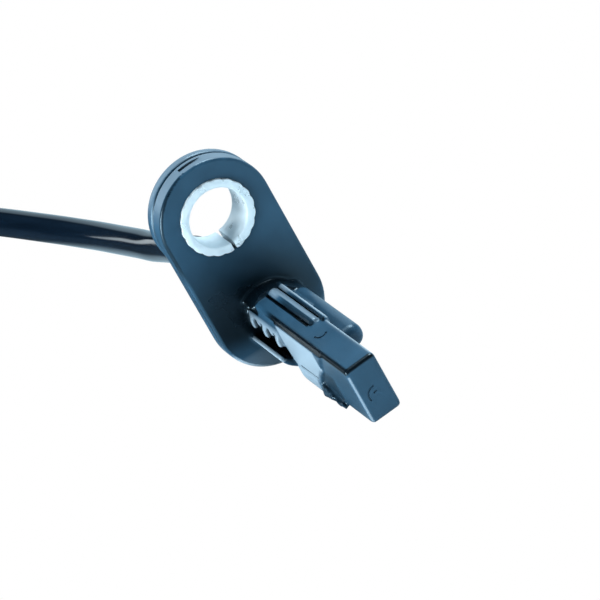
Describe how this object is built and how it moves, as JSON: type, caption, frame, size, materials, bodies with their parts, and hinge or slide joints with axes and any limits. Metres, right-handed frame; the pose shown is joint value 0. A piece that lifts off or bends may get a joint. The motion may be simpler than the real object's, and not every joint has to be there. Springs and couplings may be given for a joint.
{
  "type": "wheel speed sensor",
  "caption": "Anti-lock brake wheel speed sensor: a bolt-on flange with a steel sleeve, a slim sensing head, and a sheathed lead tied in a hank, with a two-way plug",
  "frame": {"origin": "middle of the flange's seat face, halfway between the centres of its two round ends", "axes": "+X out of the seat face, along the sensing head; +Z from the head to the bolt sleeve; +Y across the flange"},
  "size_m": [0.2573, 0.0346, 0.0326],
  "materials": {
    "housing": "moulded glass-filled plastic, dark blue-grey, satin",
    "sleeve_steel": "zinc-plated rolled steel, bright",
    "carrier": "moulded plastic, black",
    "chip": "epoxy package, black",
    "magnet": "sintered magnet, dark grey",
    "ceramic": "fired ceramic, tan",
    "tinned": "tin-plated bronze strip",
    "copper": "stranded copper",
    "core_brown": "wire insulation, brown",
    "core_blue": "wire insulation, blue",
    "boot": "moulded rubber, black, matt",
    "jacket": "extruded cable jacket, near black, glossy",
    "tape": "vinyl tape, black",
    "plug": "moulded nylon, black",
    "seal": "silicone rubber, red-brown",
    "lock": "moulded plastic, light grey"
  },
  "bodies": {
    "root": {"sensor_body": "housing", "bolt_sleeve": "sleeve_steel", "chip_carrier": "carrier", "sensor_chip": "chip", "bias_magnet": "magnet", "capacitor": "ceramic", "lead_supply": "tinned", "conductor_supply": "copper", "core_insulation_supply": "core_brown", "lead_signal": "tinned", "conductor_signal": "copper", "core_insulation_signal": "core_blue", "strain_relief_boot": "boot", "cable_tube": "jacket", "cable_hank": "jacket", "hank_band_lower": "tape", "hank_band_upper": "tape", "cable_tail": "jacket", "plug_shell": "plug", "plug_seal": "seal", "plug_lock": "lock", "plug_cap": "plug", "plug_pin_supply": "tinned", "plug_conductor_supply": "copper", "plug_core_supply": "core_brown", "plug_pin_signal": "tinned", "plug_conductor_signal": "copper", "plug_core_signal": "core_blue"}
  },
  "joints": []
}
